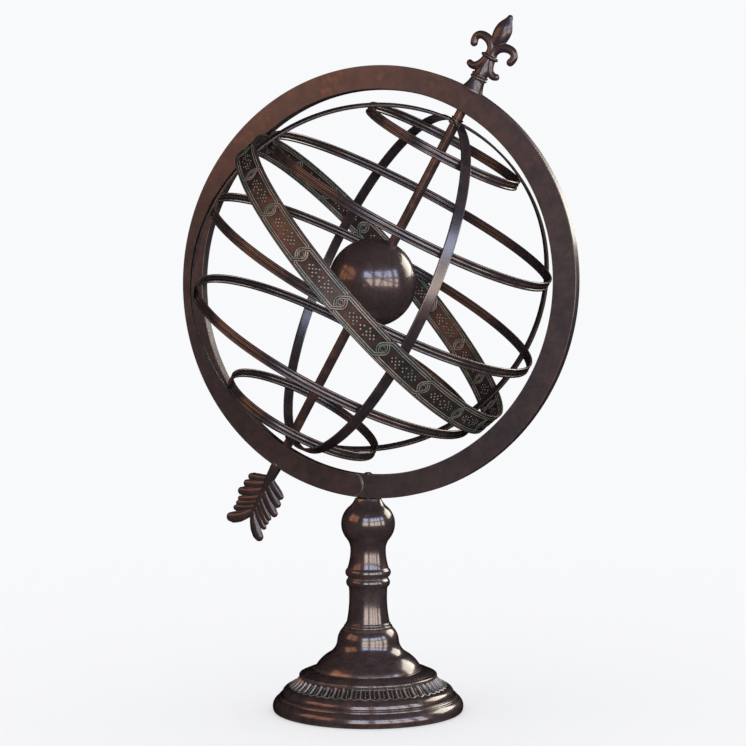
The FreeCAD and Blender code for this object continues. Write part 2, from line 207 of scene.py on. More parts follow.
def piece(name, mesh, material, body, replaces, place=None, cavity=(6, 0.12)):
    """Object that rides a body and stands for CAD nodes; cavity is (smoothing passes, scale in mm)."""
    obj = bpy.data.objects.new(name, mesh)
    bpy.context.scene.collection.objects.link(obj)
    if place is not None:
        mesh.transform(place)
        mesh.update()
    set_value(mesh, "cavity", cavity_of(mesh, *cavity))
    mesh.materials.append(material)
    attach(obj, body)
    if replaces:
        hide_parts(*replaces)
    return obj


def grid_piece(name, points, material, body, replaces, place=None, cavity=(6, 0.12)):
    mesh = mesh_from(name, points, wrap_faces(*points.shape[:2]))
    return piece(name, mesh, material, body, replaces, place, cavity)


def revolve(profile, steps):
    """Closed profile of (radius, height) turned about Z."""
    angle = turn_angles(steps)
    r, z = profile[None, :, 0], profile[None, :, 1]
    c, s = np.cos(angle)[:, None], np.sin(angle)[:, None]
    return np.stack([r * c, r * s, z + 0 * c], -1)


def round_box(half_w, half_h, radius, per_corner=4, flat=1.2):
    """Section of a strip with rounded corners, as (x, y) points anticlockwise."""
    points = []
    for k in range(4):
        sx, sy = (1, 1, -1, -1)[k], (-1, 1, 1, -1)[k]
        cx, cy = sx * (half_w - radius), sy * (half_h - radius)
        for m in range(per_corner + 1):
            a = math.radians(-90 + 90 * k + 90 * m / per_corner)
            points.append((cx + radius * math.cos(a), cy + radius * math.sin(a)))
    dense = []
    for a, b in zip(points, points[1:] + points[:1]):
        count = max(1, int(math.dist(a, b) / flat))
        dense += [(a[0] + (b[0] - a[0]) * k / count, a[1] + (b[1] - a[1]) * k / count)
                  for k in range(count)]
    return np.array(dense)


# ---- materials

class Graph:
    """Short way to build a node material."""

    def __init__(self, name):
        self.material = bpy.data.materials.new(name)
        self.material.use_nodes = True
        self.nodes = self.material.node_tree.nodes
        self.links = self.material.node_tree.links
        self.shader = self.nodes["Principled BSDF"]
        self.place = self.nodes.new("ShaderNodeTexCoord").outputs["Object"]

    def set(self, node, socket, value):
        if isinstance(value, bpy.types.NodeSocket):
            self.links.new(value, node.inputs[socket])
        else:
            node.inputs[socket].default_value = value

    def noise(self, scale, detail=4.0, rough=0.55, stretch=None):
        source = self.place
        if stretch:
            turn = self.nodes.new("ShaderNodeMapping")
            turn.inputs["Scale"].default_value = stretch
            self.links.new(source, turn.inputs["Vector"])
            source = turn.outputs[0]
        node = self.nodes.new("ShaderNodeTexNoise")
        self.links.new(source, node.inputs["Vector"])
        node.inputs["Scale"].default_value = scale
        node.inputs["Detail"].default_value = detail
        node.inputs["Roughness"].default_value = rough
        return node.outputs["Fac"]

    def value(self, name):
        node = self.nodes.new("ShaderNodeAttribute")
        node.attribute_name = name
        return node.outputs["Fac"]

    def ramp(self, source, low, high, out_low=0.0, out_high=1.0):
        node = self.nodes.new("ShaderNodeMapRange")
        node.interpolation_type = "SMOOTHSTEP"
        self.links.new(source, node.inputs["Value"])
        for key, v in (("From Min", low), ("From Max", high), ("To Min", out_low), ("To Max", out_high)):
            node.inputs[key].default_value = v
        return node.outputs[0]

    def math(self, kind, a, b):
        node = self.nodes.new("ShaderNodeMath")
        node.operation = kind
        self.set(node, 0, a)
        self.set(node, 1, b)
        return node.outputs[0]

    def mix(self, factor, a, b):
        node = self.nodes.new("ShaderNodeMix")
        node.data_type = "RGBA"
        self.set(node, "Factor", factor)
        for index, v in ((6, a), (7, b)):
            if isinstance(v, bpy.types.NodeSocket):
                self.links.new(v, node.inputs[index])
            else:
                node.inputs[index].default_value = (*v, 1.0)
        return node.outputs[2]

    def bumps(self, *layers):
        """Each layer is (height socket, distance in mm, strength)."""
        normal = None
        for height, distance, strength in layers:
            node = self.nodes.new("ShaderNodeBump")
            node.inputs["Distance"].default_value = distance * MM
            node.inputs["Strength"].default_value = strength
            self.links.new(height, node.inputs["Height"])
            if normal is not None:
                self.links.new(normal, node.inputs["Normal"])
            normal = node.outputs[0]
        self.links.new(normal, self.shader.inputs["Normal"])


BRONZE_METALLIC = 0.5                   # half metal under a clear coat, as lacquered bronze looks


def bronze(name, dark, light, copper, rust, rough, green, rub, coat, gloss=0.13, grain=0.02, patch=110,
           specks=0.5, vary=0.06, paint_lines_and_shade=False, rise=None):
    """Patinated bronze: mottled brown, copper showing through, green in the hollows, rubbed high spots.

    rust, green and rub are the strengths of the copper, the green and the rubbing, patch is the copper's
    noise scale, etched paints the mesh's gap values dark as painted shade and its line values pale as patina
    mixed with painted highlight, and rise is where the copper grows to full strength, as a height in metres
    measured along a line that leans over the object.
    """
    g = Graph(name)
    blotch = g.noise(95, 5, 0.62)
    fine = g.noise(900, 3, 0.6)
    speck = g.noise(2600, 2, 0.5)
    colour = g.mix(g.ramp(blotch, 0.33, 0.68), dark, light)
    worn = g.math("MULTIPLY", g.ramp(g.noise(38, 4, 0.6), 0.42, 0.68),
                  g.ramp(g.noise(patch, 5, 0.66), 0.40, 0.70))
    if rise:
        height = g.nodes.new("ShaderNodeSeparateXYZ")
        g.links.new(g.place, height.inputs[0])
        lean = g.math("SUBTRACT", height.outputs["Z"], g.math("MULTIPLY", height.outputs["X"], 0.6))
        worn = g.math("MULTIPLY", worn, g.ramp(lean, *rise, 0.25, 1.0))
    colour = g.mix(g.math("MULTIPLY", worn, rust), colour, copper)
    colour = g.mix(g.ramp(speck, 0.55, 0.78, 0.0, specks), colour, tuple(0.4 * c for c in dark))
    cavity = g.value("cavity")
    hollow = g.math("MULTIPLY", g.ramp(cavity, 0.15, 1.0),
                    g.ramp(g.noise(420, 4, 0.65), 0.3, 0.62, 0.3, 1.0))
    hollow = g.math("MULTIPLY", hollow, green)
    verdigris = g.mix(g.ramp(fine, 0.35, 0.65), (0.018, 0.028, 0.024), (0.075, 0.105, 0.088))
    colour = g.mix(hollow, colour, verdigris)
    ridge = g.ramp(g.math("MULTIPLY", cavity, -1.0), 0.2, 1.0)
    ridge = g.math("MULTIPLY", ridge, g.ramp(blotch, 0.3, 0.62, 0.25, 1.0))
    colour = g.mix(g.math("MULTIPLY", ridge, rub), colour, (0.24, 0.185, 0.15))
    dull = hollow
    if paint_lines_and_shade:
        gap_shade, line = g.value("gap_shade"), g.value("line")
        # painted shade: the gap values darken grooves, slots and hollows to near black
        dark_shade_colour = g.mix(g.ramp(fine, 0.35, 0.65), (0.006, 0.005, 0.005), (0.014, 0.015, 0.013))
        colour = g.mix(g.math("MULTIPLY", gap_shade, 0.9), colour, dark_shade_colour)
        # line values are painted pale: green patina mixed with a cream painted highlight along raised lines
        # and the seam
        patina_and_highlight = g.mix(g.ramp(g.noise(60, 3, 0.6), 0.35, 0.62), (0.07, 0.13, 0.11), (0.23, 0.20, 0.165))
        broken = g.ramp(g.noise(500, 4, 0.7), 0.25, 0.55, 0.25, 1.0)
        line = g.math("MULTIPLY", line, broken)
        colour = g.mix(line, colour, patina_and_highlight)
        dull = g.math("MULTIPLY", line, 0.6)
    g.set(g.shader, "Base Color", colour)
    g.shader.inputs["Specular Tint"].default_value = (0.5, 0.5, 0.5, 1.0)
    g.shader.inputs["Coat Weight"].default_value = coat
    g.shader.inputs["Coat Roughness"].default_value = gloss
    g.set(g.shader, "Metallic", g.math("MULTIPLY", BRONZE_METALLIC, g.math("SUBTRACT", 1.0, dull)))
    spread = g.ramp(g.noise(210, 5, 0.65), 0.3, 0.7, rough - vary, rough + vary)
    spread = g.math("ADD", spread, g.math("MULTIPLY", dull, 0.3))
    spread = g.math("ADD", spread, g.math("MULTIPLY", worn, 0.08))
    g.set(g.shader, "Roughness", spread)
    g.bumps((g.noise(260, 3, 0.5), grain * 3, 0.5), (fine, grain, 0.6), (speck, grain * 0.5, 0.5))
    return g.material


def steel(name, colour, rough):
    g = Graph(name)
    fine = g.noise(1200, 3, 0.6)
    g.set(g.shader, "Base Color", g.mix(g.ramp(fine, 0.3, 0.7), tuple(0.7 * c for c in colour), colour))
    g.shader.inputs["Metallic"].default_value = 1.0
    g.set(g.shader, "Roughness", g.ramp(g.noise(500, 4, 0.6), 0.3, 0.7, rough - 0.06, rough + 0.1))
    g.bumps((fine, 0.01, 0.6))
    return g.material


def felt(name):
    g = Graph(name)
    fibre = g.noise(1800, 6, 0.75, stretch=(1, 1, 4))
    g.set(g.shader, "Base Color", g.mix(g.ramp(fibre, 0.3, 0.7), (0.012, 0.022, 0.016), (0.04, 0.066, 0.05)))
    g.set(g.shader, "Roughness", g.ramp(fibre, 0.3, 0.7, 0.85, 1.0))
    g.shader.inputs["Sheen Weight"].default_value = 0.4
    g.shader.inputs["Sheen Roughness"].default_value = 0.5
    g.bumps((fibre, 0.12, 0.8))
    return g.material


RING_METAL = bronze("ring_metal", (0.025, 0.021, 0.024), (0.042, 0.030, 0.030), (0.125, 0.053, 0.030),
                    rust=0.75, rough=0.42, green=0.3, rub=0.1, coat=0.5, gloss=0.20, patch=200, vary=0.03,
                    paint_lines_and_shade=True, rise=(0.42, 0.60))
HOOP_METAL = bronze("hoop_metal", (0.019, 0.015, 0.018), (0.032, 0.024, 0.025), (0.100, 0.042, 0.026),
                    rust=0.3, rough=0.28, green=0.1, rub=0.1, coat=0.8, gloss=0.21, grain=0.001, patch=60,
                    specks=0.1, vary=0.02)
BAND_METAL = bronze("band_metal", (0.020, 0.015, 0.016), (0.036, 0.024, 0.023), (0.120, 0.048, 0.027),
                    rust=0.45, rough=0.34, green=0.3, rub=0.1, coat=0.25, gloss=0.25, grain=0.01,
                    paint_lines_and_shade=True)
ROD_METAL = bronze("rod_metal", (0.028, 0.020, 0.020), (0.050, 0.033, 0.029), (0.150, 0.058, 0.030),
                   rust=0.7, rough=0.32, green=0.2, rub=0.2, coat=0.2)
BALL_METAL = bronze("ball_metal", (0.038, 0.027, 0.028), (0.052, 0.035, 0.034), (0.080, 0.042, 0.034),
                    rust=0.3, rough=0.30, green=0.2, rub=0.1, coat=0.8, grain=0.003, specks=0.3)
STEM_BROWNS = (0.028, 0.021, 0.024), (0.042, 0.029, 0.029), (0.095, 0.048, 0.036)
STAND_METAL = bronze("stand_metal", *STEM_BROWNS, rust=0.4, rough=0.26, green=0.5, rub=0.2, coat=0.9,
                     grain=0.004, specks=0.25)
BASE_METAL = bronze("base_metal", *STEM_BROWNS, rust=0.4, rough=0.26, green=0.1, rub=0.2, coat=0.9,
                    grain=0.004, specks=0.25, paint_lines_and_shade=True)
CAST_METAL = bronze("cast_metal", (0.024, 0.018, 0.020), (0.040, 0.028, 0.027), (0.100, 0.046, 0.032),
                    rust=0.25, rough=0.34, green=0.9, rub=0.15, coat=0.5, gloss=0.2, grain=0.002, patch=70,
                    specks=0.15, vary=0.03)
PLAIN_STEEL = steel("plain_steel_metal", (0.55, 0.55, 0.56), 0.32)
DARK_STEEL = steel("dark_steel_metal", (0.055, 0.05, 0.05), 0.35)
FELT = felt("felt_cloth")


# ---- stand

def lathe(name, visible, hidden, material, node, steps=256, place=None, cavity=(10, 0.25)):
    """Turned piece of the stand body: a fine outer profile closed by a coarse hidden one."""
    profile = np.concatenate([visible, np.array(hidden, float).reshape(-1, 2)])
    return grid_piece(name, revolve(profile, steps), material, ROOT, (node,), place, cavity)


def run_to_height(profile, run, z):
    """Distance along a profile that climbs, to where it reaches height z."""
    order = np.argsort(-profile[::-1, 1])
    return np.interp(-z, -profile[::-1, 1][order], run[::-1][order])


def base_plate():
    """Round foot whose slope is cut with pointed flutes that have thin fillets between them."""
    visible = trace((83.4, 0.35), (84.0, 1.2), ((84.1, 6.4), (79.4, 11.8)), ((78.8, 13.3), (76.8, 13.6)),
                    (76.2, 13.4), ((75.3, 17.9), (71.8, 20.8)), ((64.4, 25.1), (60.6, 29.9)),
                    ((61.1, 31.6), (59.2, 32.7)), (58.4, 32.8), ((53.8, 35.3), (47.4, 36.5)),
                    spacing=0.45, soften=0.28)
    hidden = [(20, 36.2), (6, 36.2), (6, 14), (14, 14), (14, 2.2), (18, 2.2), (18, 26), (50, 26), (62, 18),
              (72, 10), (76, 2.2), (79.5, 1.9), (79.6, 0.4)]
    steps = FLUTES * FLUTE_COLUMNS
    grid = revolve(np.concatenate([visible, np.array(hidden, float)]), steps)
    run = np.concatenate([[0], np.cumsum(np.linalg.norm(np.diff(visible, axis=0), axis=1))])
    top = run_to_height(visible, run, FLUTE_TOP_Z)
    length = top - run_to_height(visible, run, FLUTE_BOTTOM_Z)
    down = top - run
    tangent = np.gradient(visible, axis=0)
    tangent /= np.linalg.norm(tangent, axis=1)[:, None]
    normal = np.stack([tangent[:, 1], -tangent[:, 0]], 1)
    angle = turn_angles(steps)
    phase = (angle / (2 * math.pi / FLUTES) + FLUTE_PHASE) % 1.0 - 0.5
    half = math.pi / FLUTES * visible[:, 0]
    # x is the distance from a flute's middle and s the distance down from its top
    x = np.abs(phase)[:, None] * 2 * half[None, :]
    s = down[None, :] + 0 * x
    point = length - 2.6 + 2.4 * (1 - x / half[None, :])
    side = half[None, :] - 0.3 - x
    inside = np.minimum(np.minimum(side, s - 0.3), point - s)
    depth = -1.6 * smooth_step(inside / 0.5)
    tip = smooth_step((s - length + 3.4) / 0.8) * bump(point - s, 0.45) * (x < half - 0.1)
    depth += 0.2 * bump(inside, 0.3) * (s > -0.4) + 0.45 * tip
    rib = smooth_step((0.6 - x) / 0.45) * smooth_step((s - 1.4) / 0.6) * smooth_step((length * 0.7 - s) / 0.8)
    depth += 1.0 * rib
    fade = smooth_step((s + 0.8) / 0.5) * smooth_step((length + 1.2 - s) / 0.8)
    depth *= fade
    shown = len(visible)
    grid[:, :shown, 0] += depth * normal[None, :, 0] * np.cos(angle)[:, None]
    grid[:, :shown, 1] += depth * normal[None, :, 0] * np.sin(angle)[:, None]
    grid[:, :shown, 2] += depth * normal[None, :, 1]
    obj = grid_piece("base_casting", grid, BASE_METAL, ROOT, ("base_plate",), None, (8, 0.14))
    # painted light: line paints the flutes' edges, tips and ribs pale as painted highlight with some patina,
    # gap paints painted shade into the flute hollows
    edges = 0.45 * bump(inside, 0.26) * (s > -0.3)
    line = np.maximum(np.maximum(edges, 0.3 * rib), tip) * fade
    gap_shade = 0.55 * smooth_step((inside - 0.25) / 0.4) * (1 - rib) * fade
    for name, value in (("line", line), ("gap_shade", gap_shade)):
        full = np.zeros(grid.shape[:2])
        full[:, :shown] = value
        set_value(obj.data, name, full)


def stem():
    """The three turnings above the foot."""
    bore = STEM_BORE
    bell = trace((47.6, 36.4), ((43.6, 42.9), (35.9, 49.6)), ((30.0, 54.5), (27.4, 60.8)),
                 ((26.0, 67.4), (22.2, 73.0)), spacing=0.5, soften=1.0)
    lathe("stem_bell_turning", bell, [(20.0, 73.0), (bore, 73.0), (bore, 36.3), (46.8, 36.3)], STAND_METAL,
          "stem_bell")
    column = trace((21.0, 73.0), ((21.6, 74.1), (20.8, 75.3)), (20.0, 75.6), ((20.2, 76.5), (19.2, 77.5)),
                   ((16.9, 95.0), (17.1, 108.4)), (17.6, 109.4), ((19.5, 113.0), (18.0, 116.6)),
                   (17.8, 117.3), spacing=0.35, soften=0.22)
    lathe("stem_column_turning", column, [(bore, 117.3), (bore, 73.1), (19.0, 73.1)], STAND_METAL,
          "stem_column")
    bead = trace((17.6, 117.4), (17.9, 118.0), ((20.2, 121.9), (18.4, 125.6)), spacing=0.35, soften=0.22)
    swell = trace((18.4, 125.6), ((16.4, 133.4), (15.7, 141.0)), ((16.3, 146.6), (18.4, 151.0)),
                  ((23.9, 165.2), (17.6, 179.6)), ((13.7, 183.4), (11.5, 187.6)), spacing=0.45, soften=1.1)
    bulb = np.concatenate([bead, swell[2:]])
    lathe("stem_bulb_turning", bulb, [(5.4, 187.4), (5.4, 117.6)], STAND_METAL, "stem_bulb")


base_plate()
stem()


# ---- outer ring

def outer_ring():
    """Flat ring with eased edges and a fine arc-shaped brazed joint low on both faces."""
    coarse = np.radians(np.linspace(-85.0, 265.0, 700, endpoint=False))
    fine = np.radians(np.linspace(-95.0, -85.0, 110, endpoint=False))
    angle = np.concatenate([coarse, fine])
    section = round_box((RING_OUTER - RING_INNER) / 2, RING_HALF, 0.6, 4, 0.32)
    radius = section[None, :, 0] + (RING_OUTER + RING_INNER) / 2
    y = section[None, :, 1] + 0 * angle[:, None]
    x, z = radius * np.cos(angle)[:, None], radius * np.sin(angle)[:, None]
    off = np.hypot(x - JOINT_X, z - JOINT_Z) - JOINT_R
    near = (x > JOINT_X) & (np.abs(z - JOINT_Z) < 12)
    face = np.abs(y) > RING_HALF - 0.2
    lift = (0.2 * bump(off, 0.34) - 0.25 * bump(off + 0.8, 0.4)) * near * face
    points = np.stack([x, y + np.sign(y) * lift * JOINT_LIFT, z], -1)
    obj = grid_piece("outer_ring_bar", points, RING_METAL, ROOT, ("outer_ring",),
                     Matrix.Translation(CENTRE), (5, 0.10))
    # painted light: line paints a painted highlight along the joint, fading out towards its bottom end, and
    # gap paints painted shade into the groove beside it
    bright = smooth_step((z + 187) / 8) * near * face
    set_value(obj.data, "line", bump(off, 0.36) * bright)
    set_value(obj.data, "gap_shade", 0.8 * bump(off + 0.85, 0.4) * near * face)


outer_ring()


# ---- rod, ball and collar

def axis_pieces():
    """The ball and the finial's collar, both threaded on the rod's line."""
    rim = math.sqrt(BALL_R ** 2 - BALL_HOLE_R ** 2)
    visible = trace((ROD_R + 0.1, -rim + 0.1), (BALL_HOLE_R, -rim), ((BALL_R, 0.0), (BALL_HOLE_R, rim)),
                    (ROD_R + 0.1, rim - 0.1), spacing=0.5, soften=0.25)
    lathe("centre_ball_shell", visible, [(ROD_R, 20.0), (ROD_R, -20.0)], BALL_METAL,
          "centre_ball", place=POLAR, cavity=(6, 0.3))
    visible = trace((9.6, 189.0), (9.2, 190.4), ((7.6, 194.4), (6.5, 199.2)), ((7.7, 200.6), (6.7, 202.0)),
                    ((7.6, 203.2), (6.4, 204.4)), spacing=0.25, soften=0.18)
    lathe("finial_collar_turning", visible, [(3.1, 204.2), (3.1, 189.0)], CAST_METAL,
          "finial_collar", steps=128, place=POLAR, cavity=(8, 0.15))


axis_pieces()


# ---- cage

def hoop(name, spin, outer_lap, node):
    """Flat hoop through both poles, halved there to lap over the other and widened to a round eye."""
    angle = turn_angles(1080)
    mid, half_t = (COLURE_INNER + COLURE_OUTER) / 2, (COLURE_OUTER - COLURE_INNER) / 2
    from_pole = np.abs((angle + math.pi / 2) % math.pi - math.pi / 2) * mid
    width = np.maximum(COLURE_HALF, np.sqrt(np.maximum(COLURE_EYE ** 2 - from_pole ** 2, 0)))
    lap = smooth_step((COLURE_EYE + 0.5 - from_pole) / 0.5)
    high = half_t - lap * (half_t + 0.02) * (not outer_lap)
    low = -half_t + lap * (half_t + 0.02) * outer_lap
    section = round_box(COLURE_HALF, half_t, 0.42, 4, 1.1)
    thick = (high - low) / 2 / half_t
    r = mid + ((high + low) / 2)[:, None] + section[None, :, 1] * thick[:, None]
    across = section[None, :, 0] * (width / COLURE_HALF)[:, None]
    x, z = r * np.sin(angle)[:, None], r * np.cos(angle)[:, None]
    points = np.stack([x, across, z], -1)
    place = POLAR @ Matrix.Rotation(math.radians(spin), 4, "Z")
    return grid_piece(name, points, HOOP_METAL, CAGE, (node,), place, (4, 0.10))


def moulded_section():
    """Section of a parallel: beads along both edges, a rib between fine grooves outside and inside."""
    edge = EDGE_BEAD_Y + EDGE_BEAD_R
    y = np.linspace(-edge, edge, 45)
    bead = np.sqrt(np.maximum(EDGE_BEAD_R ** 2 - (np.abs(y) - EDGE_BEAD_Y) ** 2, 0))
    web = 0.45 + 0.5 * bump(y, 0.8)
    half = np.maximum(bead, np.where(np.abs(y) < EDGE_BEAD_Y, web, 0))
    outside = np.stack([half, y], 1)
    inside = np.stack([-half[::-1], y[::-1]], 1)
    return np.concatenate([outside, inside[1:-1]])


def parallels():
    """Circles of latitude, each sized so that its farther bead just misses the colures' inside."""
    section = moulded_section()
    reach = COLURE_INNER - 0.03 - EDGE_BEAD_R
    for node, offset in PARALLELS.items():
        mid = math.sqrt(reach ** 2 - (abs(offset) + EDGE_BEAD_Y) ** 2)
        steps = int(2 * math.pi * mid / 1.6)
        grid_piece(node + "_moulding", revolve(section + (mid, offset), steps), HOOP_METAL, CAGE,
                   (node,), POLAR, (5, 0.10))


def strand_distance(x, w):
    """Distance from a panel's looped strand: straight sides that close round the knots in arcs."""
    x, w = np.abs(x), np.abs(w)
    past, above = x - STRAND_END, w - STRAND_Y
    straight = np.where(past < 0, np.abs(above), np.hypot(past, above))
    t = np.clip((past - above) / 2, 0, 5.1)
    diagonal = np.hypot(past - t, above + t)
    turn = np.where(x - KNOT_X >= w, np.abs(np.hypot(x - KNOT_X, w) - KNOT_R), 99.0)
    return np.minimum(np.minimum(straight, diagonal), turn)


def strand_height(d):
    """A strand's section: a low ribbon with a raised cord along each edge."""
    return 0.02 + 0.14 * smooth_step((1.6 - d) / 0.3) + 0.30 * bump(d - 0.95, 0.36) - 0.06 * bump(d, 0.3)


def dots():
    """Middles of a panel's raised dots."""
    places = []
    for side in (-1, 1):
        places += [(side * 14.3, 0), (side * 12.2, 2.1), (side * 12.2, -2.1), (side * 10.1, 0),
                   (side * 8.0, 2.1), (side * 8.0, -2.1), (side * 5.8, 0), (side * 5.8, 4.0),
                   (side * 5.8, -4.0)]
    return places + [(-1.5, 0), (1.0, 2.1), (1.0, -2.1)]


def relief(t, w):
    """Ornament at ring angle t and w off the band's middle: height in mm, lines to paint pale (patina and
    painted highlight) and gaps to paint dark (painted shade).
    """
    x = (((t - FIRST_KNOT) / (2 * math.pi / PANELS)) % 1.0 - 0.5) * PANEL_LENGTH
    own = strand_distance(x, w)
    beside = strand_distance(np.abs(x) - PANEL_LENGTH, w)
    # the two strands that meet in a knot pass over and under each other in turn
    own_over = (x < 0) == (w > 0)
    over, under = np.where(own_over, own, beside), np.where(own_over, beside, own)
    clear = smooth_step((over - 1.7) / 0.25)
    shown = np.where(over < STRAND_HALF, over, np.where(under < STRAND_HALF, under, 99.0))
    height = np.where(over < STRAND_HALF, strand_height(over), strand_height(under) * clear)
    height = np.maximum(0.02, height)
    # line paints the cords' crowns pale as patina and painted highlight, gap paints the grooves between and
    # beside them dark as painted shade
    line = np.where(shown < 5, bump(shown - 0.95, 0.33), 0)
    gap_shade = np.where(shown < 5, bump(shown, 0.36), 0) + 0.8 * bump(np.minimum(over, under) - 1.85, 0.3)
    # the knot's eye: painted highlight on its rim, painted shade in its dimple
    knot = np.hypot((np.abs(x) - KNOT_X) / 1.1, w)
    height = np.maximum(height, 0.30 * bump(knot - 2.0, 0.42))
    height -= 0.15 * smooth_step((1.4 - knot) / 0.6)
    line += 0.6 * bump(knot - 2.0, 0.3)
    gap_shade += 0.8 * bump(knot - 1.2, 0.4)
    # each dot gets a painted highlight on its top and painted shade round its foot
    for dx, dw in dots():
        d = np.hypot(x - dx, w - dw)
        height = np.maximum(height, 0.42 * np.sqrt(np.maximum(1 - (d / 0.8) ** 2, 0)))
        height -= 0.14 * bump(d - 1.05, 0.22)
        line += smooth_step((0.76 - d) / 0.25)
        gap_shade += 0.8 * bump(d - 1.0, 0.22)
    edge = BAND_HALF - np.abs(w)
    height = np.maximum(height, 0.44 * smooth_step((1.25 - edge) / 0.3))
    height -= 0.12 * bump(edge - 1.5, 0.2)
    # painted shade in the groove inside the band's rim, painted highlight on the rim
    gap_shade += 0.9 * bump(edge - 1.45, 0.22)
    line += 0.3 * bump(edge - 0.95, 0.22)
    return height, np.clip(line, 0, 1), np.clip(gap_shade, 0, 1)


def out_and_back(outside, inside):
    """Joins the columns of the band's two faces into one closed section."""
    return np.concatenate([outside, inside[:, ::-1]], 1)


def ecliptic_band():
    """Broad band outside the colures, ornamented outside and inside, tilted to the rod."""
    t = turn_angles(PANELS * 140)
    w = np.concatenate([[-BAND_HALF, -11.32], np.linspace(-11.0, 11.0, 67), [11.32, BAND_HALF]])
    turn, across = np.meshgrid(t, w, indexing="ij")
    over = ((np.abs(across) - 11.0) / 0.5).clip(0, 1)
    height, line, gap_shade = relief(turn, across)
    height = height - 0.32 * (1 - np.sqrt(1 - over ** 2))
    r = out_and_back(BAND_OUTER - 0.5 + height, BAND_INNER + 0.5 - height)
    turn = out_and_back(turn, turn)
    points = np.stack([r * np.cos(turn), r * np.sin(turn), out_and_back(across, across)], -1)
    place = POLAR @ Matrix.Rotation(BAND_LEAN, 4, "Z") @ Matrix.Rotation(BAND_TILT, 4, "Y")
    obj = grid_piece("ecliptic_band_relief", points, BAND_METAL, CAGE, ("ecliptic_band",),
                     place, (7, 0.16))
    # line and gap carry the relief's painted highlight and painted shade to the band's material
    set_value(obj.data, "line", out_and_back(line, line))
    set_value(obj.data, "gap_shade", out_and_back(gap_shade, gap_shade))


hoop("solstice_colure_strip", 40.0, False, "solstice_colure")
hoop("equinox_colure_strip", 130.0, True, "equinox_colure")
parallels()
ecliptic_band()


# ---- cast finial and feathers

def path_tube(points, radii, flat=1.0, steps=36, around=22):
    """Closed tube along a smooth curve through (x, z) points; flat scales its thickness along Y."""
    p = np.array(points, float)
    r = np.array(radii, float)
    key = np.concatenate([[0], np.cumsum(np.linalg.norm(np.diff(p, axis=0), axis=1))])
    fit = [np.polyfit(key, v, min(3, len(key) - 1)) for v in (p[:, 0], p[:, 1])]
    s = np.linspace(0, key[-1], steps)
    centre = np.stack([np.polyval(f, s) for f in fit], 1)
    radius = np.convolve(np.pad(np.interp(s, key, r), 3, mode="edge"), np.ones(7) / 7, "valid")
    tangent = np.gradient(centre, axis=0)
    tangent /= np.linalg.norm(tangent, axis=1)[:, None]
    out = np.linspace(1, 0, CAP_ROWS, endpoint=False)
    cap = np.sqrt(np.clip(1 - out ** 2, 0.02, 1))
    head = np.concatenate([centre[:1] - tangent[:1] * radius[0] * q for q in out])
    tail = np.concatenate([centre[-1:] + tangent[-1:] * radius[-1] * q for q in out[::-1]])
    centre = np.concatenate([head, centre, tail])
    radius = np.concatenate([radius[0] * cap, radius, radius[-1] * cap[::-1]])
    tangent = np.concatenate([np.repeat(tangent[:1], CAP_ROWS, 0), tangent,
                              np.repeat(tangent[-1:], CAP_ROWS, 0)])
    side = np.stack([-tangent[:, 1], tangent[:, 0]], 1)
    a = turn_angles(around)
    x = centre[:, None, 0] + side[:, None, 0] * radius[:, None] * np.cos(a)[None, :]
    z = centre[:, None, 1] + side[:, None, 1] * radius[:, None] * np.cos(a)[None, :]
    y = radius[:, None] * flat * np.sin(a)[None, :]
    return np.stack([x, y, z], -1)


def tube_shell(grid):
    """Vertices, quads and the two end polygons of a tube."""
    rows, cols = grid.shape[:2]
    i, j = np.meshgrid(np.arange(rows - 1), np.arange(cols), indexing="ij")
    j2 = (j + 1) % cols
    quads = np.stack([i * cols + j, i * cols + j2, (i + 1) * cols + j2, (i + 1) * cols + j], -1)
    quads = quads.reshape(-1, 4)
    ends = list(range(cols))[::-1], [(rows - 1) * cols + k for k in range(cols)]
    return grid.reshape(-1, 3), quads, ends


def fuse(name, grids, voxel, relax, material, node, cavity):
    """Joins overlapping tubes into one cast-looking skin; relax is the number of smoothing passes."""
    vertices, faces, offset = [], [], 0
    for grid in grids:
        v, q, ends = tube_shell(grid)
        vertices += (v * MM).tolist()
        faces += (q + offset).tolist()
        faces += [[k + offset for k in end] for end in ends]
        offset += len(v)
    raw = bpy.data.meshes.new(name + "_raw")
    raw.from_pydata(vertices, [], faces)
    raw.update()
    work = bpy.data.objects.new(name + "_raw", raw)
    bpy.context.scene.collection.objects.link(work)
    remesh = work.modifiers.new("voxels", "REMESH")
    remesh.mode = "VOXEL"
    remesh.voxel_size = voxel * MM
    relaxing = work.modifiers.new("relax", "SMOOTH")
    relaxing.factor = 0.5
    relaxing.iterations = relax
    bpy.context.view_layer.update()
    mesh = bpy.data.meshes.new_from_object(work.evaluated_get(bpy.context.evaluated_depsgraph_get()))
    mesh.name = name
    bpy.data.objects.remove(work)
    bpy.data.meshes.remove(raw)
    mesh.polygons.foreach_set("use_smooth", np.ones(len(mesh.polygons), bool))
    return piece(name, mesh, material, ROOT, (node,), POLAR, cavity)


def mirrored(points):
    return [(-x, z) for x, z in points]


def oval_ring(half_x, half_y, z, tube):
    """Ring of round wire about the Z axis, flattened to an oval."""
    a = np.linspace(0, 2 * math.pi, 65)[:, None]
    b = turn_angles(16)[None, :]
    x = half_x * np.cos(a) + np.cos(a) * tube * np.cos(b)
    y = half_y * np.sin(a) + np.sin(a) * tube * np.cos(b)
    return np.stack([x, y, z + tube * np.sin(b) + 0 * x], -1)


